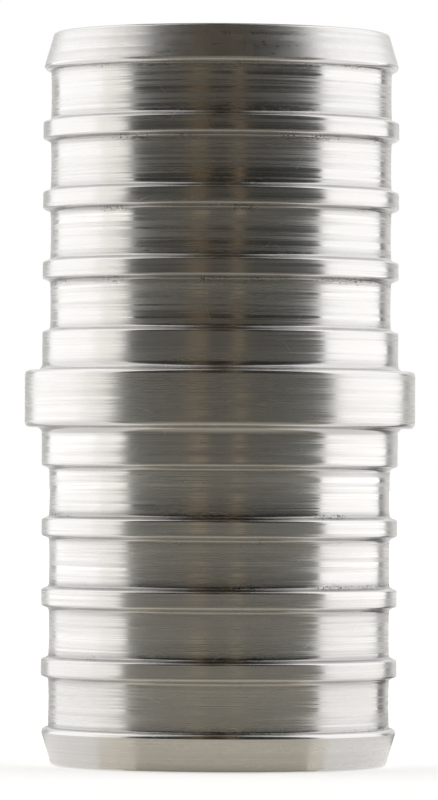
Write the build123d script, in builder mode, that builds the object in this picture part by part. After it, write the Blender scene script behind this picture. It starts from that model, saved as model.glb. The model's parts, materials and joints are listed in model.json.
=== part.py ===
from build123d import *
import os

# Straight crimp coupling for 1 in cross-linked polyethylene tube, turned as one
# piece from stainless steel bar. A tube is pushed over each insert until it meets
# the collar, and a ring crimped round it beds its bore into the grooves.
# The axis is +Z, and the coupling stands on the end face of its lower insert.

# ---- Driving dimensions, in millimetres ----------------------------------------

# Inserts
INSERT_DIAMETER = 22.0  # over the rib crests and the seat, as the tube's bore takes it
RIB_COUNT = 3  # ribs on each insert
RIB_WIDTH = 1.24  # along the axis, at the foot of a rib
GROOVE_WIDTH = 3.08  # along the axis, beside every rib
GROOVE_DEPTH = 0.47  # from the crests down to the groove floors
SEAT_LENGTH = 2.47  # plain land between the collar and the first groove

# Noses, the tapered barbs at the mouths
NOSE_LENGTH = 2.34  # from the last groove to the end face
NOSE_LAND = 0.32  # straight crest behind the taper
NOSE_RELIEF = 0.06  # how far that crest lies below the rib crests
END_WALL = 0.84  # wall that the taper leaves at the end face

# Collar, the stop for both tubes
COLLAR_WIDTH = 3.5
COLLAR_HEIGHT = 1.06  # step from the seat up to the rim

# Waterway
GROOVE_WALL = 1.03  # wall between the groove floors and the bore

# Edges
FRONT_ROUNDING = 0.32  # of a rib or the seat, on the side that a tube reaches first
BACK_ROUNDING = 0.4  # of a rib, on the side toward the collar
ROOT_RADIUS = 0.06
NOSE_ROUNDING = 0.3
END_ROUNDING = 0.2
RIM_ROUNDING = 0.28
SHOULDER_RADIUS = 0.42
MOUTH_CHAMFER = 0.3

# The most of a rib, land or wall that one rounding or chamfer may take
ROUNDED_SHARE = 0.86
EDGE_SHARE = 0.4

# ---- Sizes that follow ---------------------------------------------------------

crest_radius = INSERT_DIAMETER / 2
floor_radius = crest_radius - GROOVE_DEPTH
bore_radius = floor_radius - GROOVE_WALL
rim_radius = crest_radius + COLLAR_HEIGHT
nose_radius = crest_radius - NOSE_RELIEF
end_radius = bore_radius + END_WALL

# Heights are measured outward from the middle of the collar.
shoulder = COLLAR_WIDTH / 2
seat_end = shoulder + SEAT_LENGTH
groove_pitch = GROOVE_WIDTH + RIB_WIDTH
land_fronts = [seat_end + i * groove_pitch for i in range(RIB_COUNT + 1)]  # seat, then ribs
rib_backs = [front + GROOVE_WIDTH for front in land_fronts[:-1]]
nose_foot = land_fronts[-1] + GROOVE_WIDTH
taper_foot = nose_foot + NOSE_LAND
half_length = nose_foot + NOSE_LENGTH

widest_rounding = min(ROUNDED_SHARE * GROOVE_DEPTH, EDGE_SHARE * RIB_WIDTH)
front_rounding = min(FRONT_ROUNDING, widest_rounding)
back_rounding = min(BACK_ROUNDING, widest_rounding)
root_radius = min(ROOT_RADIUS, EDGE_SHARE * (GROOVE_DEPTH - max(front_rounding, back_rounding)))
nose_rounding = min(NOSE_ROUNDING, ROUNDED_SHARE * (GROOVE_DEPTH - NOSE_RELIEF))
end_rounding = min(END_ROUNDING, EDGE_SHARE * END_WALL)
mouth_chamfer = min(MOUTH_CHAMFER, EDGE_SHARE * END_WALL)
rim_rounding = min(RIM_ROUNDING, EDGE_SHARE * COLLAR_HEIGHT, EDGE_SHARE * COLLAR_WIDTH)
shoulder_radius = min(SHOULDER_RADIUS, EDGE_SHARE * COLLAR_HEIGHT, EDGE_SHARE * SEAT_LENGTH)

# The section lies in the XZ plane, level with the middle of the collar.
section_plane = Plane(origin=(0, 0, half_length), x_dir=(1, 0, 0), z_dir=(0, -1, 0))


def corners(sketch, radius, lowest=0.0, highest=half_length):
    """Return the corners of the half-section at one radius, in a range of heights."""
    near = 1e-4
    at_radius = sketch.vertices().filter_by_position(Axis.X, radius - near, radius + near)
    return at_radius.filter_by_position(Axis.Y, lowest - near, highest + near)


# ---- The coupling, one turned solid --------------------------------------------

with BuildPart() as coupling:
    with BuildSketch(section_plane) as section:
        # Blank of the upper half: bore, collar, insert and tapered nose
        with BuildLine():
            Polyline(
                (bore_radius, 0),
                (rim_radius, 0),
                (rim_radius, shoulder),
                (crest_radius, shoulder),
                (crest_radius, nose_foot),
                (nose_radius, nose_foot),
                (nose_radius, taper_foot),
                (end_radius, half_length),
                (bore_radius, half_length),
                close=True,
            )
        make_face()

        # Grooves, which leave the ribs standing between them
        with Locations([(crest_radius, front + GROOVE_WIDTH / 2) for front in land_fronts]):
            Rectangle(2 * GROOVE_DEPTH, GROOVE_WIDTH, mode=Mode.SUBTRACT)

        # Edges as the tool leaves them
        fillet(corners(section, floor_radius), root_radius)
        for front in land_fronts:
            fillet(corners(section, crest_radius, front, front), front_rounding)
        for back in rib_backs:
            fillet(corners(section, crest_radius, back, back), back_rounding)
        fillet(corners(section, nose_radius, highest=nose_foot), nose_rounding)
        fillet(corners(section, crest_radius, highest=shoulder), shoulder_radius)
        fillet(corners(section, rim_radius, lowest=shoulder), rim_rounding)
        fillet(corners(section, end_radius), end_rounding)
        chamfer(corners(section, bore_radius, lowest=half_length), mouth_chamfer)

        # The lower insert is the same
        mirror(about=Plane.XZ)
    revolve(axis=Axis.Z)

coupling.part.label = "coupling"

os.makedirs("parts", exist_ok=True)
export_step(coupling.part, "parts/coupling.step")
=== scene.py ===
"""Straight crimp coupling, turned as one piece from stainless steel bar, on a pale table.

The scene is in metres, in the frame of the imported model: the coupling stands on Z = 0
and its axis is +Z. Sizes of the coupling itself are written in millimetres.
"""

import json
import logging
import math
from abc import ABC, abstractmethod
from collections.abc import Iterator
from dataclasses import dataclass, field, replace
from enum import Enum
from typing import Any

import bpy
import numpy as np
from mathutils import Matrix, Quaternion, Vector


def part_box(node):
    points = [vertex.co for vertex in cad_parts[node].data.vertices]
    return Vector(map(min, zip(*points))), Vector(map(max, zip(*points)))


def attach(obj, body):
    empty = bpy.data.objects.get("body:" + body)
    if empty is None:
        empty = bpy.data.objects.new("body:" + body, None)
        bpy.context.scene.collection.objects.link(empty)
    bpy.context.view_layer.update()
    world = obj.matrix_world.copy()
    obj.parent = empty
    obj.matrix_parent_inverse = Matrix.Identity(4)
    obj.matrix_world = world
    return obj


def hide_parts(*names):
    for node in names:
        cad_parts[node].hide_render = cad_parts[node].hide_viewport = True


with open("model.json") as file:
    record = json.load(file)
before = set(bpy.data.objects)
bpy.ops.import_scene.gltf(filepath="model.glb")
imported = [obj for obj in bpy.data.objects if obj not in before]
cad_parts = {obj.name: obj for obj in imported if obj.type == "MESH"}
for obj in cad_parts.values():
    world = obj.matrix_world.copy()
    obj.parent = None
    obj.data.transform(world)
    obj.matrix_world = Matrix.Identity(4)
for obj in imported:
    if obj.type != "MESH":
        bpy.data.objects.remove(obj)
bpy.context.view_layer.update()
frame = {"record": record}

MM = 0.001
NODE = "coupling"
BODY = "root"

# Layers of the coupling's mesh that its finishes read
UNROLLED = "unrolled"
# Soil at the corners, which the finishes also turn into painted shade
SOIL_AND_SHADE = "soil"

# A node, meaning its first output, or one socket of a node
Source = bpy.types.Node | bpy.types.NodeSocket

log = logging.getLogger("coupling")


# ---- Small helpers ---------------------------------------------------------------


def linear(colour: str) -> tuple[float, float, float, float]:
    """Turn an sRGB hex colour into linear RGBA.

    Args:
        colour: The colour as "#RRGGBB".

    Returns:
        Red, green, blue and an alpha of 1, in linear light.
    """
    parts = [int(colour[i:i + 2], 16) / 255 for i in (1, 3, 5)]
    light = [p / 12.92 if p <= 0.04045 else ((p + 0.055) / 1.055) ** 2.4 for p in parts]
    return (light[0], light[1], light[2], 1.0)


def add_node(
    tree: bpy.types.NodeTree,
    kind: str,
    settings: dict[str, Any] | None = None,
    links: dict[str | int, Any] | tuple[Any, ...] = (),
) -> bpy.types.Node:
    """Add one node with its settings and links.

    Args:
        tree: The node tree that takes the node.
        kind: Blender's name for the node type.
        settings: Properties of the node itself, by name.
        links: The source to link or the value to set at each input, in the order of the
            inputs or by their names.

    Returns:
        The new node.
    """
    node = tree.nodes.new(kind)
    for name, value in (settings or {}).items():
        setattr(node, name, value)
    for key, value in links.items() if isinstance(links, dict) else enumerate(links):
        if isinstance(value, bpy.types.Node):
            value = value.outputs[0]
        if isinstance(value, bpy.types.NodeSocket):
            tree.links.new(value, node.inputs[key])
        else:
            node.inputs[key].default_value = value
    return node


def new_material(name: str) -> bpy.types.Material:
    """Make a material with an empty node tree.

    Args:
        name: The material's name.

    Returns:
        The new material.
    """
    material = bpy.data.materials.new(name)
    material.use_nodes = True
    material.node_tree.nodes.clear()
    return material


def add_mesh(name: str, points: np.ndarray, faces: np.ndarray) -> bpy.types.Object:
    """Make a smooth mesh object and put it in the scene.

    Args:
        name: Name of the object and its mesh.
        points: Corner points in metres, one row each.
        faces: Corner numbers of the faces, one row each.

    Returns:
        The new object.
    """
    mesh = bpy.data.meshes.new(name)
    mesh.from_pydata(points.tolist(), [], faces.tolist())
    mesh.shade_smooth()
    mesh.update()
    piece = bpy.data.objects.new(name, mesh)
    bpy.context.scene.collection.objects.link(piece)
    return piece


# ---- Finish of the coupling ------------------------------------------------------


class Zone(Enum):
    """The turned surfaces of the coupling. Each is cut by its own pass of a tool."""

    GROOVE = "grooved"
    CREST = "crest"
    EDGE = "edge"
    COLLAR = "collar"
    NOSE = "nose"
    BORE = "bored"


@dataclass(frozen=True)
class TurnedSteel:
    """Austenitic stainless steel as a lathe tool leaves it. Sizes are in millimetres.

    The eye gets a near-neutral light grey metal with a satin gloss. Fine rings run round
    it. Some are duller than others, so they show as pale lines where the steel mirrors
    something dark, and they comb the sides of that dark band.

    A band is the part of a noise, which runs from 0 to 1 round a middle of 0.5, that is
    stretched over the whole of an effect.
    """

    pass_name: str
    colour: str = "#DAD8D6"
    roughness: float = 0.24
    least_roughness: float = 0.06

    # Rings. The feed marks of such a pass are about 0.1 mm apart, too fine to show from a
    # step away, so every few of them also make up a broad ring
    ring_pitch: float = 0.08
    ring_length: float = 14.0
    ring_depth: float = 0.0006
    broad_pitch: float = 0.336
    broad_length: float = 25.2
    broad_share: float = 0.5
    # Finer and finer layers of a ring's noise, and how strong each is next to the one before
    ring_detail: float = 2.0
    ring_grain: float = 0.55
    roughness_swing: float = 0.13
    roughness_band: tuple[float, float] = (0.38, 0.62)
    shade_swing: float = 0.085
    shade_band: tuple[float, float] = (0.35, 0.65)
    # How far a ring turns its reflection to the side, in degrees, by chatter of the tool
    chatter: float = 4.0

    # Short torn marks, where the tool rubbed instead of cutting, and what they do to the
    # roughness and, against that, to the relief
    fleck: float = 0.0
    fleck_pitch: float = 0.13
    fleck_length: float = 0.55
    fleck_band: tuple[float, float] = (0.35, 0.65)
    fleck_roughness: tuple[float, float] = (-0.10, 0.16)
    fleck_relief: float = 2.5

    # Handling scratches
    scratch_spacing: float = 2.6
    scratch_length: float = 1.1
    scratch_width: float = 0.035
    scratch_roughness: float = 0.18

    # Dust of the cut and burrs, in patches at the foot of a rib
    soil_colour: str = "#453D33"
    patch_size: float = 3.5
    patch_band: tuple[float, float] = (0.42, 0.60)
    speck_size: float = 0.09
    speck_band: tuple[float, float] = (0.79, 0.91)
    speck_crowding: float = 0.24
    speck_roughness: float = 0.3
    soil_detail: float = 1.0
    # How much darker the steel is painted in such a corner, as painted shade
    corner_shade_depth: float = 0.37

    def ring_noise(
        self,
        tree: bpy.types.NodeTree,
        place: Source,
        along: Source,
        pitch: float,
        length: float,
    ) -> Source:
        """Add noise that is drawn out round the axis.

        Args:
            tree: The material's node tree.
            place: Position in metres.
            along: Distance along the turned section, in mm.
            pitch: Usual distance from ring to ring, in mm.
            length: Usual length of a ring's mark round the axis, in mm.

        Returns:
            The noise, from 0 to 1 with a middle of 0.5.
        """
        around = add_node(
            tree,
            "ShaderNodeVectorMath",
            {"operation": "MULTIPLY"},
            (place, (1 / (length * MM), 1 / (length * MM), 0.0)),
        )
        rings = add_node(tree, "ShaderNodeMath", {"operation": "MULTIPLY"}, (along, 1 / pitch))
        rise = add_node(tree, "ShaderNodeCombineXYZ", {}, {"Z": rings})
        drawn = add_node(tree, "ShaderNodeVectorMath", {"operation": "ADD"}, (around, rise))
        noise = add_node(
            tree,
            "ShaderNodeTexNoise",
            {"noise_dimensions": "3D"},
            {
                "Vector": drawn,
                "Scale": 1.0,
                "Detail": self.ring_detail,
                "Roughness": self.ring_grain,
            },
        )
        return noise.outputs["Fac"]

    def scratches(self, tree: bpy.types.NodeTree, flat: Source) -> Source:
        """Add sparse short scratches, each at its own angle.

        Args:
            tree: The material's node tree.
            flat: Position on the unrolled skin, in mm.

        Returns:
            How deep in a scratch each point is, from 0 to 1.
        """
        cells = add_node(
            tree,
            "ShaderNodeTexVoronoi",
            {"voronoi_dimensions": "2D"},
            {"Vector": flat, "Scale": 1 / self.scratch_spacing},
        ).outputs
        arm = add_node(
            tree, "ShaderNodeVectorMath", {"operation": "SUBTRACT"}, (flat, cells["Position"])
        )
        chance = add_node(tree, "ShaderNodeSeparateColor", {}, {"Color": cells["Color"]}).outputs
        angle = add_node(
            tree, "ShaderNodeMath", {"operation": "MULTIPLY"}, (chance["Red"], math.pi)
        )
        turned = add_node(
            tree,
            "ShaderNodeVectorRotate",
            {"rotation_type": "Z_AXIS"},
            {"Vector": arm, "Angle": angle},
        )
        squeezed = add_node(
            tree,
            "ShaderNodeVectorMath",
            {"operation": "MULTIPLY"},
            (turned, (2 / self.scratch_length, 2 / self.scratch_width, 0.0)),
        )
        reach = add_node(tree, "ShaderNodeVectorMath", {"operation": "LENGTH"}, (squeezed,))
        # A scratch is deepest along its middle half
        depth = add_node(
            tree, "ShaderNodeMapRange", {}, (reach.outputs["Value"], 0.5, 1.0, 1.0, 0.0)
        )
        return add_node(tree, "ShaderNodeMath", {"operation": "MULTIPLY"}, (depth, chance["Green"]))

    def soil(self, tree: bpy.types.NodeTree, place: Source, soil_and_shade: Source) -> Source:
        """Add soil, which lies in patches along the soiled corners.

        Args:
            tree: The material's node tree.
            place: Position in metres.
            soil_and_shade: How near a soiled corner each point is, which is also where painted
                shade lies, from 0 to 1.

        Returns:
            How soiled each point is, from 0 to 1.
        """
        noise = add_node(
            tree,
            "ShaderNodeTexNoise",
            {"noise_dimensions": "3D"},
            {
                "Vector": place,
                "Scale": 1 / (self.patch_size * MM),
                "Detail": self.soil_detail,
            },
        )
        patches = add_node(
            tree, "ShaderNodeMapRange", {}, (noise.outputs["Fac"], *self.patch_band, 0.0, 1.0)
        )
        return add_node(tree, "ShaderNodeMath", {"operation": "MULTIPLY"}, (soil_and_shade, patches))

    def dirt(self, tree: bpy.types.NodeTree, place: Source, soil: Source) -> Source:
        """Add dark specks, which lie thickest where there is soil.

        Args:
            tree: The material's node tree.
            place: Position in metres.
            soil: How soiled each point is, from 0 to 1.

        Returns:
            How much of each point a speck hides, from 0 to 1.
        """
        noise = add_node(
            tree,
            "ShaderNodeTexNoise",
            {"noise_dimensions": "3D"},
            {
                "Vector": place,
                "Scale": 1 / (self.speck_size * MM),
                "Detail": self.soil_detail,
            },
        )
        crowded = add_node(
            tree,
            "ShaderNodeMath",
            {"operation": "MULTIPLY_ADD"},
            (soil, self.speck_crowding, noise.outputs["Fac"]),
        )
        return add_node(tree, "ShaderNodeMapRange", {}, (crowded, *self.speck_band, 0.0, 1.0))

    def torn(
        self, tree: bpy.types.NodeTree, place: Source, along: Source, soil: Source
    ) -> Source:
        """Add torn flecks over the whole pass, by its own share, and in the soiled corners.

        Args:
            tree: The material's node tree.
            place: Position in metres.
            along: Distance along the turned section, in mm.
            soil: How soiled each point is, from 0 to 1.

        Returns:
            How much duller, or less dull, the flecks make each point.
        """
        flecks = self.ring_noise(tree, place, along, self.fleck_pitch, self.fleck_length)
        marks = add_node(
            tree, "ShaderNodeMapRange", {}, (flecks, *self.fleck_band, *self.fleck_roughness)
        )
        share = add_node(tree, "ShaderNodeMath", {"operation": "ADD"}, (soil, self.fleck))
        return add_node(tree, "ShaderNodeMath", {"operation": "MULTIPLY"}, (share, marks))

    def dullness(
        self, tree: bpy.types.NodeTree, rings: Source, torn: Source, scratch: Source, dirt: Source
    ) -> Source:
        """Add up what makes the steel duller.

        Args:
            tree: The material's node tree.
            rings: Noise of the turned rings.
            torn: What torn flecks add.
            scratch: How deep in a scratch each point is.
            dirt: How much of each point a speck hides.

        Returns:
            The roughness.
        """
        span = (self.roughness - self.roughness_swing, self.roughness + self.roughness_swing)
        dull = add_node(tree, "ShaderNodeMapRange", {}, (rings, *self.roughness_band, *span))
        dull = add_node(tree, "ShaderNodeMath", {"operation": "ADD"}, (dull, torn))
        for mark, strength in ((scratch, self.scratch_roughness), (dirt, self.speck_roughness)):
            dull = add_node(
                tree, "ShaderNodeMath", {"operation": "MULTIPLY_ADD"}, (mark, strength, dull)
            )
        return add_node(
            tree, "ShaderNodeMath", {"operation": "MAXIMUM"}, (dull, self.least_roughness)
        )

    def shade(
        self, tree: bpy.types.NodeTree, rings: Source, soil_and_shade: Source, dirt: Source
    ) -> Source:
        """Colour the steel: duller rings are darker, and the corners are darkened with painted
        shade.

        Args:
            tree: The material's node tree.
            rings: Noise of the turned rings.
            soil_and_shade: How near a soiled corner each point is, which sets the painted shade
                there, from 0 to 1.
            dirt: How much of each point a speck hides.

        Returns:
            The base colour.
        """
        light = add_node(
            tree, "ShaderNodeMapRange", {}, (rings, *self.shade_band, 1.0, 1 - self.shade_swing)
        )
        # Painted shade: the steel is darkened towards the roots and corners, where shade falls
        painted_corner_shade = add_node(
            tree, "ShaderNodeMapRange", {}, (soil_and_shade, 0.0, 1.0, 1.0, 1 - self.corner_shade_depth)
        )
        light = add_node(tree, "ShaderNodeMath", {"operation": "MULTIPLY"}, (light, painted_corner_shade))
        steel = add_node(
            tree,
            "ShaderNodeMix",
            {"data_type": "RGBA", "blend_type": "MULTIPLY"},
            {0: 1.0, 6: linear(self.colour), 7: light},
        )
        soiled = add_node(
            tree,
            "ShaderNodeMix",
            {"data_type": "RGBA"},
            {0: dirt, 6: steel.outputs[2], 7: linear(self.soil_colour)},
        )
        return soiled.outputs[2]

    def relief(
        self, tree: bpy.types.NodeTree, fine: Source, rings: Source, torn: Source
    ) -> Source:
        """Turn the surface to and fro by its rings and flecks.

        Args:
            tree: The material's node tree.
            fine: Noise of the fine rings.
            rings: Noise of all rings.
            torn: What torn flecks add to the roughness.

        Returns:
            The surface's normal.
        """
        height = add_node(
            tree, "ShaderNodeMath", {"operation": "MULTIPLY_ADD"}, (torn, self.fleck_relief, fine)
        )
        bump = add_node(
            tree,
            "ShaderNodeBump",
            {},
            {"Strength": 1.0, "Distance": self.ring_depth * MM, "Height": height},
        )
        turn = math.radians(self.chatter)
        swerve = add_node(tree, "ShaderNodeMapRange", {}, (rings, 0.0, 1.0, -turn, turn))
        return add_node(
            tree,
            "ShaderNodeVectorRotate",
            {"rotation_type": "Z_AXIS"},
            {"Vector": bump, "Angle": swerve},
        )

    def build(self) -> bpy.types.Material:
        """Make the material of this pass.

        Returns:
            The finished material.
        """
        material = new_material(f"turned_stainless_steel_{self.pass_name}")
        tree = material.node_tree
        place = add_node(tree, "ShaderNodeTexCoord").outputs["Object"]
        flat = add_node(tree, "ShaderNodeUVMap", {"uv_map": UNROLLED})
        along = add_node(tree, "ShaderNodeSeparateXYZ", {}, (flat,)).outputs["Y"]
        # Soil at the corners, which also sets the painted shade of the corners
        soil_and_shade = add_node(tree, "ShaderNodeAttribute", {"attribute_name": SOIL_AND_SHADE}).outputs["Fac"]

        fine = self.ring_noise(tree, place, along, self.ring_pitch, self.ring_length)
        broad = self.ring_noise(tree, place, along, self.broad_pitch, self.broad_length)
        rings = add_node(
            tree,
            "ShaderNodeMix",
            {"data_type": "FLOAT"},
            {"Factor": self.broad_share, "A": fine, "B": broad},
        )
        soil = self.soil(tree, place, soil_and_shade)
        dirt = self.dirt(tree, place, soil)
        torn = self.torn(tree, place, along, soil)
        scratch = self.scratches(tree, flat)
        surface = add_node(
            tree,
            "ShaderNodeBsdfPrincipled",
            {},
            {
                "Base Color": self.shade(tree, rings, soil_and_shade, dirt),
                "Metallic": 1.0,
                "Roughness": self.dullness(tree, rings, torn, scratch, dirt),
                "Normal": self.relief(tree, fine, rings, torn),
            },
        )
        add_node(tree, "ShaderNodeOutputMaterial", {}, {"Surface": surface})
        return material


# ---- The coupling ----------------------------------------------------------------


@dataclass(frozen=True)
class Corner:
    """One corner of the turned section, in millimetres.

    The zone is the finish of the stretch that leads to the next corner. Soil, from 0 to 1,
    tells how much dust of the cut and torn metal lies at the corner, and how much painted
    shade darkens the steel there.
    """

    radius: float
    height: float
    rounding: float
    zone: Zone
    facets: int = 6
    soil: float = 0.0


@dataclass(frozen=True)
class Station:
    """One point of the turned section, in millimetres, and the finish that follows it."""

    radius: float
    height: float
    zone: Zone
    soil: float


@dataclass
class Coupling:
    """The coupling as one turned skin. Sizes are in millimetres, as the CAD solid has them."""

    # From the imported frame
    length: float
    rim_radius: float
    crest_radius: float
    bore_radius: float
    shoulder: float

    # Along the axis, outward from the collar
    seat_length: float = 2.47
    groove_width: float = 3.08
    rib_width: float = 1.24
    ribs: int = 3
    nose_land: float = 0.32

    # Across the axis
    groove_depth: float = 0.47
    nose_relief: float = 0.06
    end_wall: float = 0.84

    # Edges. The side of a rib leans: its top is set back by lean_in, and its foot stands out
    # by lean_out
    rib_rounding: float = 0.13
    rib_root: float = 0.20
    lean_in: float = 0.11
    lean_out: float = 0.08
    nose_root: float = 0.10
    nose_rounding: float = 0.30
    end_rounding: float = 0.20
    rim_rounding: float = 0.28
    shoulder_radius: float = 0.42
    mouth_chamfer: float = 0.30
    broken_edge: float = 0.03

    # A rounding over this size has the finish of an edge
    edge_size: float = 0.1

    # The tool is a little round, so a groove is deeper in its middle
    groove_sag: float = 0.026

    # Soil at the corners, which also sets the painted shade there, and how far both reach from them
    shoulder_soil_and_shade: float = 0.45
    front_soil_and_shade: float = 0.5
    back_soil_and_shade: float = 1.0
    nose_soil_and_shade: float = 0.9
    soil_and_shade_reach: float = 0.30

    # Mesh: facets round the axis and over a rounding, the usual distance of stations along
    # a stretch, and the distance of its outer ones from its ends, which keeps it flat there
    segments: int = 216
    rib_facets: int = 4
    sharp_facets: int = 2
    span: float = 0.9
    guard: float = 0.04

    finishes: dict[Zone, TurnedSteel] = field(default_factory=dict)

    @classmethod
    def from_frame(cls, finishes: dict[Zone, TurnedSteel]) -> "Coupling":
        """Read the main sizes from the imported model.

        Args:
            finishes: The finish of each zone.

        Returns:
            A coupling with the size of the CAD solid.
        """
        low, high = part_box(NODE)
        mounts = {m["name"]: m for m in frame["record"]["mounts"]}
        middle = (low.z + high.z) / 2
        return cls(
            length=(high.z - low.z) / MM,
            rim_radius=high.x / MM,
            crest_radius=mounts["upper_insert"]["dims"]["r_mm"],
            bore_radius=mounts["waterway"]["dims"]["r_mm"],
            shoulder=(mounts["upper_stop"]["pos_m"][2] - middle) / MM,
            finishes=finishes,
        )

    def half_section(self) -> list[Corner]:
        """List the corners of the upper half, from the collar outward and down the bore.

        Returns:
            The corners, with heights measured from the middle of the collar.
        """
        crest = self.crest_radius
        floor = crest - self.groove_depth
        nose = crest - self.nose_relief
        end = self.bore_radius + self.end_wall
        half = self.length / 2
        height = self.shoulder
        corners = [
            Corner(self.rim_radius, height, self.rim_rounding, Zone.EDGE),
            Corner(crest, height, self.shoulder_radius, Zone.CREST, soil=self.shoulder_soil_and_shade),
        ]
        height += self.seat_length
        for _ in range(self.ribs):
            far = height + self.groove_width
            corners += self.groove_start(floor, height)
            corners += [
                Corner(floor, far - self.lean_out, self.rib_root, Zone.EDGE, soil=self.back_soil_and_shade),
                Corner(crest, far + self.lean_in, self.rib_rounding, Zone.CREST, self.rib_facets),
            ]
            height = far + self.rib_width
        corners += self.groove_start(floor, height)
        height += self.groove_width
        edge = self.broken_edge
        facets = self.sharp_facets
        corners += [
            Corner(floor, height, self.nose_root, Zone.EDGE, self.rib_facets, self.nose_soil_and_shade),
            Corner(nose, height, self.nose_rounding, Zone.NOSE),
            Corner(nose, height + self.nose_land, edge, Zone.NOSE, facets),
            Corner(end, half, self.end_rounding, Zone.EDGE),
            Corner(self.bore_radius + self.mouth_chamfer, half, edge, Zone.EDGE, facets),
            Corner(self.bore_radius, half - self.mouth_chamfer, edge, Zone.BORE, facets),
        ]
        return corners

    def groove_start(self, floor: float, height: float) -> list[Corner]:
        """List the two corners between a land and the groove that follows it.

        Args:
            floor: Radius of the groove's floor.
            height: Where the land would end if its side didn't lean.

        Returns:
            The land's front edge and the groove's first root.
        """
        crest = self.crest_radius
        return [
            Corner(crest, height - self.lean_in, self.rib_rounding, Zone.EDGE, self.rib_facets),
            Corner(floor, height + self.lean_out, self.rib_root, Zone.GROOVE, soil=self.front_soil_and_shade),
        ]

    def section(self) -> list[Corner]:
        """Mirror the upper half.

        Returns:
            The corners of the whole closed section, with heights above the base.
        """
        upper = self.half_section()
        half = self.length / 2
        lower = []
        for i, corner in enumerate(upper):
            # Walked the other way, a stretch belongs to the corner at its far end.
            zone = upper[i - 1].zone if i else Zone.COLLAR
            lower.append(replace(corner, height=half - corner.height, zone=zone))
        raised = [replace(corner, height=half + corner.height) for corner in upper]
        return raised + lower[::-1]

    def outline(self) -> Iterator[Station]:
        """Walk round the section with its corners rounded.

        Yields:
            The stations of the section, in order.
        """
        corners = self.section()
        arcs = []
        for i, corner in enumerate(corners):
            before, after = corners[i - 1], corners[(i + 1) % len(corners)]
            arcs.append(self.rounded(before, corner, after))
        for i, corner in enumerate(corners):
            zone = Zone.EDGE if corner.rounding > self.edge_size else corner.zone
            for radius, height in arcs[i][:-1]:
                yield Station(radius, height, zone, corner.soil)
            following = (i + 1) % len(corners)
            soils = (corner.soil, corners[following].soil)
            yield from self.stretch(arcs[i][-1], arcs[following][0], corner.zone, soils)

    def rounded(self, before: Corner, corner: Corner, after: Corner) -> list[tuple[float, float]]:
        """Round one corner with an arc.

        Args:
            before: The corner ahead of it.
            corner: The corner to round.
            after: The corner that follows.

        Returns:
            Points of the arc, each a radius and a height.
        """
        here = np.array([corner.radius, corner.height])
        back = np.array([before.radius, before.height]) - here
        ahead = np.array([after.radius, after.height]) - here
        back /= np.linalg.norm(back)
        ahead /= np.linalg.norm(ahead)
        half_angle = math.acos(float(np.clip(back @ ahead, -1, 1))) / 2
        bisector = (back + ahead) / np.linalg.norm(back + ahead)
        centre = here + bisector * corner.rounding / math.sin(half_angle)
        tangent = corner.rounding / math.tan(half_angle)
        first = here + back * tangent - centre
        last = here + ahead * tangent - centre
        sweep = math.pi - 2 * half_angle
        points = []
        for step in range(corner.facets + 1):
            share = step / corner.facets
            arm = (math.sin((1 - share) * sweep) * first + math.sin(share * sweep) * last)
            point = centre + arm / math.sin(sweep)
            points.append((float(point[0]), float(point[1])))
        return points

    def stretch(
        self,
        start: tuple[float, float],
        stop: tuple[float, float],
        zone: Zone,
        soils: tuple[float, float],
    ) -> Iterator[Station]:
        """Walk along one straight or slightly hollow stretch.

        Args:
            start: Radius and height where it starts.
            stop: Radius and height where it stops.
            zone: Its finish.
            soils: Soil, which also sets the painted shade, at its two ends. It fades away from
                each.

        Yields:
            Its stations from the start up to, but not with, the stop.
        """
        a, b = np.array(start), np.array(stop)
        length = float(np.linalg.norm(b - a))
        places = [0.0]
        # Where there is room, stations also stand along the stretch and where the soil ends
        if length > 4 * self.guard:
            places += list(np.linspace(
                self.guard, length - self.guard, 2 + round(length / self.span)
            ))
        if length > 4 * self.soil_and_shade_reach and any(soils):
            places += [self.soil_and_shade_reach, length - self.soil_and_shade_reach]
        for place in sorted(places):
            radius, height = a + (b - a) * place / length
            if zone is Zone.GROOVE:
                radius -= self.groove_sag * (1 - (2 * place / length - 1) ** 2)
            near = max(0.0, 1 - place / self.soil_and_shade_reach)
            far = max(0.0, 1 - (length - place) / self.soil_and_shade_reach)
            yield Station(float(radius), float(height), zone, near * soils[0] + far * soils[1])

    def build(self) -> bpy.types.Object:
        """Turn the outline into a closed skin.

        Returns:
            The coupling's mesh object, without its materials.
        """
        walk = list(self.outline())
        count = len(walk)
        radii = np.array([station.radius for station in walk]) * MM
        heights = np.array([station.height for station in walk]) * MM
        turns = np.arange(self.segments) * 2 * math.pi / self.segments
        points = np.stack([
            np.outer(radii, np.sin(turns)),
            np.outer(radii, np.cos(turns)),
            np.outer(heights, np.ones(self.segments)),
        ], axis=-1).reshape(-1, 3)
        row, column = np.meshgrid(np.arange(count), np.arange(self.segments), indexing="ij")
        rows = np.stack([row, row + 1, row + 1, row], axis=-1).reshape(-1, 4)
        columns = np.stack([column, column, column + 1, column + 1], axis=-1).reshape(-1, 4)
        faces = rows % count * self.segments + columns % self.segments
        piece = add_mesh("coupling_skin", points, faces)

        zones = list(Zone)
        slots = np.repeat([zones.index(station.zone) for station in walk], self.segments)
        piece.data.polygons.foreach_set("material_index", slots.astype(np.int32))
        # Soil at each station, which the finishes also turn into painted shade in the corners
        soil = piece.data.attributes.new(SOIL_AND_SHADE, "FLOAT", "POINT")
        soil.data.foreach_set("value", np.repeat([station.soil for station in walk], self.segments))

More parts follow.
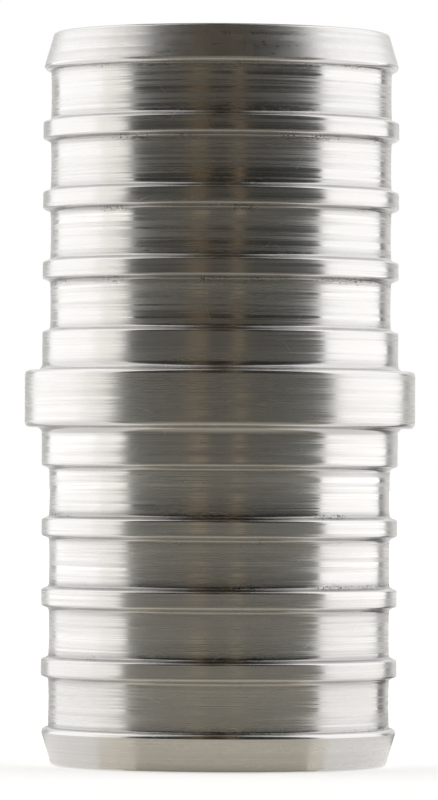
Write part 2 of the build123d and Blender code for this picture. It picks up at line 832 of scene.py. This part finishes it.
        # Unrolled skin, in mm: round the crest, and along the section
        steps = np.hypot(np.diff(radii, append=radii[0]), np.diff(heights, append=heights[0]))
        along = np.concatenate([[0.0], np.cumsum(steps)]) / MM
        arc = 2 * math.pi * self.crest_radius / self.segments
        unrolled = np.stack([columns * arc, along[rows]], axis=-1)
        layer = piece.data.uv_layers.new(name=UNROLLED)
        layer.uv.foreach_set("vector", unrolled.reshape(-1).astype(np.float32))
        log.info("%s: %d stations, %d faces", piece.name, count, len(faces))
        return piece

    def dress(self, piece: bpy.types.Object) -> None:
        """Give each zone its finish.

        Args:
            piece: The coupling's mesh object.
        """
        for zone in Zone:
            piece.data.materials.append(self.finishes[zone].build())

    def mount(self, piece: bpy.types.Object) -> None:
        """Put the skin in the place of the CAD solid.

        Args:
            piece: The coupling's mesh object.
        """
        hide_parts(NODE)
        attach(piece, BODY)


# ---- Studio ----------------------------------------------------------------------


@dataclass(frozen=True)
class Card:
    """Matte painted board. It gives the eye one even tone with no gloss."""

    name: str
    colour: str
    # Light that camera, glossy and transmission rays see on top of the board's own shade,
    # so that a background stays pale
    lift: float = 0.0

    def build(self) -> bpy.types.Material:
        """Make the board's material.

        Returns:
            The finished material.
        """
        material = new_material(self.name)
        tree = material.node_tree
        surface = add_node(tree, "ShaderNodeBsdfDiffuse", {}, {"Color": linear(self.colour)})
        if self.lift:
            path = add_node(tree, "ShaderNodeLightPath").outputs
            seen = path["Is Camera Ray"]
            for ray in ("Is Glossy Ray", "Is Transmission Ray"):
                seen = add_node(
                    tree, "ShaderNodeMath", {"operation": "MAXIMUM"}, (seen, path[ray])
                )
            strength = add_node(
                tree, "ShaderNodeMath", {"operation": "MULTIPLY"}, (seen, self.lift)
            )
            glow = add_node(tree, "ShaderNodeEmission", {}, {"Strength": strength})
            surface = add_node(tree, "ShaderNodeAddShader", {}, (surface, glow))
        add_node(tree, "ShaderNodeOutputMaterial", {}, {"Surface": surface})
        return material


@dataclass(frozen=True)
class TonedCard(ABC):
    """Matte board or cloth whose tone changes from place to place."""

    name: str
    # A mark, and the colour there
    tones: tuple[tuple[float, str], ...]
    # Share of its colour that it gives off as light, which shows it in the coupling's shadow
    lift: float = 0.0

    @abstractmethod
    def measure(self, tree: bpy.types.NodeTree) -> Source:
        """Add what the tones follow, as a share from 0 to 1."""

    @abstractmethod
    def share(self, mark: float) -> float:
        """Return where a mark lies on that measure, from 0 to 1."""

    def build(self) -> bpy.types.Material:
        """Make the board's material.

        Returns:
            The finished material.
        """
        material = new_material(self.name)
        tree = material.node_tree
        ramp = add_node(tree, "ShaderNodeValToRGB", {}, {"Fac": self.measure(tree)})
        elements = ramp.color_ramp.elements
        while len(elements) < len(self.tones):
            elements.new(0.5)
        for element, (mark, colour) in zip(elements, self.tones):
            element.position = self.share(mark)
            element.color = linear(colour)
        surface = add_node(tree, "ShaderNodeBsdfDiffuse", {}, {"Color": ramp})
        if self.lift:
            glow = add_node(tree, "ShaderNodeEmission", {}, {"Color": ramp, "Strength": self.lift})
            surface = add_node(tree, "ShaderNodeAddShader", {}, (surface, glow))
        add_node(tree, "ShaderNodeOutputMaterial", {}, {"Surface": surface})
        return material


@dataclass(frozen=True)
class StripedCard(TonedCard):
    """Board with upright stripes and shades. Its marks are azimuths in degrees."""

    def measure(self, tree: bpy.types.NodeTree) -> Source:
        """Add the share of a turn.

        Args:
            tree: The material's node tree.

        Returns:
            The share, from -X and round by way of -Y.
        """
        place = add_node(tree, "ShaderNodeTexCoord").outputs["Object"]
        turn = add_node(
            tree, "ShaderNodeTexGradient", {"gradient_type": "RADIAL"}, {"Vector": place}
        )
        return turn.outputs["Fac"]

    def share(self, mark: float) -> float:
        """Return the share of a turn, with a quarter turn from -X to azimuth 0 at -Y."""
        return mark / 360 + 0.25


@dataclass(frozen=True)
class RingedCard(TonedCard):
    """Cloth with round shades. Its marks are distances from the coupling's foot in metres."""

    reach: float = 0.47

    def measure(self, tree: bpy.types.NodeTree) -> Source:
        """Add the distance from the foot.

        Args:
            tree: The material's node tree.

        Returns:
            The distance, as a share of the reach.
        """
        place = add_node(tree, "ShaderNodeTexCoord").outputs["Object"]
        distance = add_node(tree, "ShaderNodeVectorMath", {"operation": "LENGTH"}, (place,))
        return add_node(
            tree,
            "ShaderNodeMath",
            {"operation": "DIVIDE"},
            (distance.outputs["Value"], self.reach),
        )

    def share(self, mark: float) -> float:
        """Return a distance as a share of the reach."""
        return mark / self.reach


TABLE_TOP = Card("pale_laminate_table", "#F7F6F4", lift=0.46)
CEILING_PAINT = Card("dark_grey_card", "#757470")

# Dark curtain, with the two brown posts of its frame and a lighter right side
CURTAIN = StripedCard("dark_curtain", (
    (-66.0, "#4E5151"),
    (-24.0, "#514F4B"),
    (-18.5, "#806F57"),
    (-10.5, "#806F57"),
    (-8.5, "#403F3B"),
    (7.4, "#3F3E3A"),
    (8.6, "#9E896D"),
    (12.8, "#9E896D"),
    (14.0, "#3F3E3B"),
    (30.0, "#434442"),
    (45.0, "#515352"),
    (57.0, "#646766"),
    (69.0, "#787A79"),
))

# Foot of the curtain, painted lighter for the light from the table that falls on it, with the same
# two posts
SKIRTING = StripedCard("warm_grey_skirting", (
    (-66.0, "#BDC1BE"),
    (-21.0, "#BFBCB3"),
    (-18.5, "#E4D9C1"),
    (-10.0, "#E4D9C1"),
    (-8.0, "#B8B5AC"),
    (7.5, "#B8B5AC"),
    (8.8, "#E8DDC5"),
    (13.4, "#E8DDC5"),
    (15.0, "#B5B3AB"),
    (45.0, "#B5B8B4"),
    (70.0, "#BCBFBB"),
))

BACK_WALL = StripedCard("grey_wall", (
    (135.0, "#8E8E8D"),
    (139.0, "#949493"),
    (144.0, "#CACAC9"),
    (150.0, "#F4F4F3"),
    (155.0, "#FFFFFE"),
    (185.0, "#FFFFFE"),
    (200.0, "#E2E2E1"),
    (214.5, "#D8D8D7"),
))

# Painted shade: felt that only the steel mirrors, in the tones of the table in front lying in the
# hood's shade, with a painted glow that lifts it in the coupling's own shadow
FELT = RingedCard("warm_grey_felt", lift=0.12, tones=(
    (0.012, "#F8F3E4"),
    (0.020, "#CFCABD"),
    (0.045, "#B2ADA0"),
    (0.080, "#928E86"),
    (0.180, "#8C8980"),
    (0.300, "#B8B5AB"),
    (0.470, "#C6C3B8"),
))
# Painted light: pale felt at the coupling's foot with a strong glow, so that the steel mirrors it
# bright inside the coupling's own shadow
FELT_EDGE = RingedCard("pale_felt_edge", lift=0.385, tones=(
    (0.012, "#F4EFE4"),
    (0.020, "#FAF8F2"),
))
FELT_HEM = RingedCard("grey_felt_hem", lift=0.33, tones=(
    (0.012, "#F6F1E4"),
    (0.020, "#ECE8DC"),
))


@dataclass(frozen=True)
class Gear(ABC):
    """One surface of the studio, which isn't part of the coupling. Metres and degrees.

    Azimuth 0 is at -Y, and azimuths grow toward +X.
    """

    name: str
    finish: Card | TonedCard

    @abstractmethod
    def net(self) -> np.ndarray:
        """Return its points, as rows of points that run alongside each other."""

    def hidden_from(self) -> tuple[str, ...]:
        """Return the kinds of ray that pass it by."""
        return ("camera",)

    def build(self) -> bpy.types.Object:
        """Make the surface.

        Returns:
            The surface's object.
        """
        net = self.net()
        rows, columns = net.shape[:2]
        first = np.arange(rows * columns).reshape(rows, columns)[:-1, :-1].reshape(-1)
        faces = np.stack([first, first + 1, first + columns + 1, first + columns], axis=-1)
        gear = add_mesh(self.name, net.reshape(-1, 3), faces)
        gear.data.materials.append(self.finish.build())
        for ray in self.hidden_from():
            setattr(gear, f"visible_{ray}", False)
        log.info("%s is set up", self.name)
        return gear


@dataclass(frozen=True)
class Sheet(Gear):
    """Level rectangle."""

    # Along X, and along Y
    across: tuple[float, float]
    deep: tuple[float, float]
    height: float = 0.0
    overhead: bool = False

    def net(self) -> np.ndarray:
        """Return its four corners."""
        return np.array([[(x, y, self.height) for x in self.across] for y in self.deep])

    def hidden_from(self) -> tuple[str, ...]:
        """Return the kinds of ray that pass it by, which are none for a table."""
        return ("camera",) if self.overhead else ()


@dataclass(frozen=True)
class Hood(Gear):
    """Dark board round the camera's side of the table, arched over the coupling.

    Steel that faces it goes dark, which gives the coupling its dark middle band.
    """

    radius: float = 0.47
    middle: float = 2.8
    # Half of its width, in degrees of azimuth, at each elevation in degrees
    arch: tuple[tuple[float, float], ...] = (
        (-8.0, 66.0),
        (20.0, 65.0),
        (35.0, 60.0),
        (50.0, 54.0),
        (65.0, 45.0),
        (80.0, 32.0),
        (88.0, 14.0),
    )
    rows: int = 49
    columns: int = 33

    def net(self) -> np.ndarray:
        """Lay out the board from its foot to the top of its arch.

        Returns:
            Its points, in one row for each elevation.
        """
        elevations, widths = zip(*self.arch)
        rises = np.linspace(elevations[0], elevations[-1], self.rows)
        half_widths = np.interp(rises, elevations, widths)
        turns = self.middle + np.outer(half_widths, np.linspace(-1, 1, self.columns))
        turns = np.radians(turns)
        # Below the level of the table, it stands upright on it
        lean = np.radians(np.maximum(rises, 0.0))[:, None]
        reach = self.radius * np.cos(lean)
        height = np.broadcast_to(self.radius * np.sin(lean), turns.shape)
        return np.stack([reach * np.sin(turns), -reach * np.cos(turns), height], axis=-1)


@dataclass(frozen=True)
class Board(Gear):
    """Curved board that stands on the table at one distance from the coupling."""

    azimuths: tuple[float, float]
    top: float
    radius: float
    columns: int = 25

    def net(self) -> np.ndarray:
        """Lay out the board.

        Returns:
            The points along its foot and its top.
        """
        turns = np.radians(np.linspace(*self.azimuths, self.columns))
        ring = (self.radius * np.sin(turns), -self.radius * np.cos(turns))
        return np.array([np.stack([*ring, np.full_like(turns, z)], axis=-1) for z in (0, self.top)])


@dataclass(frozen=True)
class Apron(Gear):
    """Felt on the table, that only the steel's reflections show.

    It spreads from the foot of the coupling outward. Each of its threads runs the way that
    the steel mirrors a level line of sight from the front.
    """

    azimuths: tuple[float, float]
    foot_radius: float = 0.0102
    # How far along its threads it starts and stops
    start: float = 0.0
    stop: float = 0.455
    height: float = 0.00005
    columns: int = 49

    def net(self) -> np.ndarray:
        """Lay out the felt.

        Returns:
            The points along its inner and its outer edge.
        """
        turns = np.radians(np.linspace(*self.azimuths, self.columns))
        foot = self.foot_radius * np.stack([np.sin(turns / 2), -np.cos(turns / 2)], axis=-1)
        thread = np.stack([np.sin(turns), -np.cos(turns)], axis=-1)
        edges = [foot + run * thread for run in (self.start, self.stop)]
        return np.pad(edges, ((0, 0), (0, 0), (0, 1)), constant_values=self.height)

    def hidden_from(self) -> tuple[str, ...]:
        """Return the kinds of ray that pass it by."""
        return ("camera", "diffuse", "shadow")


@dataclass(frozen=True)
class Softbox:
    """Flat softbox that stands beside the table and faces the coupling. Metres and degrees."""

    name: str
    azimuths: tuple[float, float]
    radiance: float
    tint: str = "#FFFFFF"
    distance: float = 0.55
    height: float = 1.0

    def build(self) -> bpy.types.Object:
        """Make the lamp.

        Returns:
            The lamp's object.
        """
        middle = math.radians(sum(self.azimuths) / 2)
        half = math.radians(abs(self.azimuths[1] - self.azimuths[0]) / 2)
        lamp = bpy.data.lights.new(self.name, "AREA")
        lamp.shape = "RECTANGLE"
        lamp.size = 2 * self.distance * math.tan(half)
        lamp.size_y = self.height
        lamp.color = linear(self.tint)[:3]
        # Power that gives the whole face of the lamp that radiance
        lamp.energy = self.radiance * math.pi * lamp.size * lamp.size_y
        softbox = bpy.data.objects.new(self.name, lamp)
        softbox.location = (
            self.distance * math.sin(middle), -self.distance * math.cos(middle), self.height / 2,
        )
        softbox.rotation_euler = (math.pi / 2, 0, middle)
        softbox.visible_camera = False
        bpy.context.scene.collection.objects.link(softbox)
        log.info("%s is lit", self.name)
        return softbox


@dataclass(frozen=True)
class Studio:
    """Pale table, soft light and the boards that steel needs round it."""

    # The felt's hem and edge lie on it, near the foot of the coupling
    hem_stop: float = 0.008
    hem_height: float = 0.0001
    back_start: float = 0.012
    room_light: float = 1.0

    def gear(self) -> list[Gear | Softbox]:
        """List what stands in the studio.

        Returns:
            The surfaces and the lamps, in the order in which they are set up.
        """
        hem = {"stop": self.hem_stop, "height": self.hem_height}
        return [
            Sheet("table", TABLE_TOP, across=(-6.0, 6.0), deep=(-6.0, 6.0)),
            Hood("hood", CURTAIN),
            Board("skirting", SKIRTING, (-66.0, 70.0), top=0.024, radius=0.462),
            Apron("apron", FELT, (-66.0, 70.0)),
            Apron("left_felt_edge", FELT_EDGE, (-86.0, -70.0), **hem),
            Apron("left_felt_hem", FELT_HEM, (-70.0, -56.0), **hem),
            Apron("right_felt_edge", FELT_EDGE, (61.0, 74.0), **hem),
            Board("back_board", BACK_WALL, (135.0, 214.5), top=0.16, radius=0.6),
            Apron("right_back_felt", BACK_WALL, (135.0, 180.0), start=self.back_start),
            Apron("left_back_felt", BACK_WALL, (-180.0, -145.5), start=self.back_start),
            Sheet(
                "ceiling_card",
                CEILING_PAINT,
                across=(-0.22, 0.22),
                deep=(-0.03, 0.28),
                height=0.46,
                overhead=True,
            ),
            Softbox("left_softbox", (-143.0, -88.0), radiance=0.4),
            Softbox("left_front_softbox", (-88.0, -66.0), radiance=0.16, tint="#FFF1CC"),
            Softbox("right_softbox", (70.0, 138.5), radiance=0.4),
        ]

    def build(self) -> None:
        """Set up the boards and the lamps in white surroundings."""
        for item in self.gear():
            item.build()
        world = bpy.data.worlds.new("white_room")
        world.use_nodes = True
        tree = world.node_tree
        tree.nodes.clear()
        white = linear("#FFFFFF")
        room = add_node(
            tree, "ShaderNodeBackground", {}, {"Color": white, "Strength": self.room_light}
        )
        add_node(tree, "ShaderNodeOutputWorld", {}, {"Surface": room})
        bpy.context.scene.world = world


@dataclass(frozen=True)
class Viewpoint:
    """Camera at about half the coupling's height, looking along +Y. Metres and degrees."""

    distance: float = 0.40
    eye_height: float = 0.0181
    side: float = -0.00006
    pitch: float = 0.640
    roll: float = -0.305
    # The lens and the sensor are in millimetres
    lens: float = 291.1
    sensor_width: float = 36.0
    near_clip: float = 0.01

    def build(self) -> bpy.types.Object:
        """Make the camera and look through it.

        Returns:
            The camera's object.
        """
        camera = bpy.data.objects.new("camera", bpy.data.cameras.new("camera"))
        camera.data.lens = self.lens
        camera.data.sensor_width = self.sensor_width
        camera.data.clip_start = self.near_clip
        camera.location = (self.side, -self.distance, self.eye_height)
        pitch = math.radians(self.pitch)
        look = Vector((0, math.cos(pitch), math.sin(pitch)))
        aim = look.to_track_quat("-Z", "Y")
        aim.rotate(Quaternion(look, math.radians(self.roll)))
        camera.rotation_mode = "QUATERNION"
        camera.rotation_quaternion = aim
        bpy.context.scene.collection.objects.link(camera)
        bpy.context.scene.camera = camera
        return camera


# ---- Making ----------------------------------------------------------------------


def turned_finishes() -> dict[Zone, TurnedSteel]:
    """List what each pass of the tools leaves.

    Returns:
        The finish of each zone.
    """
    return {
        # A form tool plunges in, and its chatter gives strong rings and ragged reflections.
        Zone.GROOVE: TurnedSteel(Zone.GROOVE.value),
        # A fine finishing pass gives a calmer and slightly sharper reflection.
        Zone.CREST: TurnedSteel(Zone.CREST.value, roughness=0.22, roughness_swing=0.07),
        # An edge is broken by the corner of the tool, which leaves a crisp bright line.
        Zone.EDGE: TurnedSteel(
            Zone.EDGE.value, roughness=0.18, roughness_swing=0.03, ring_depth=0.0002
        ),
        # The collar keeps the soft brushed look of the bar's own pass.
        Zone.COLLAR: TurnedSteel(Zone.COLLAR.value, roughness=0.26, roughness_swing=0.06),
        # The tool rubs on the taper, which goes duller and is torn in short flecks.
        Zone.NOSE: TurnedSteel(Zone.NOSE.value, roughness=0.32, roughness_swing=0.05, fleck=0.26),
        # The boring bar leaves the dullest surface.
        Zone.BORE: TurnedSteel(Zone.BORE.value, roughness=0.34),
    }


def main() -> None:
    """Build the coupling and its studio."""
    logging.basicConfig(level=logging.INFO, format="%(name)s: %(message)s")
    coupling = Coupling.from_frame(turned_finishes())
    skin = coupling.build()
    coupling.dress(skin)
    coupling.mount(skin)
    Studio().build()
    Viewpoint().build()
    bpy.context.scene.view_settings.view_transform = "Standard"


if __name__ == "__main__":
    main()
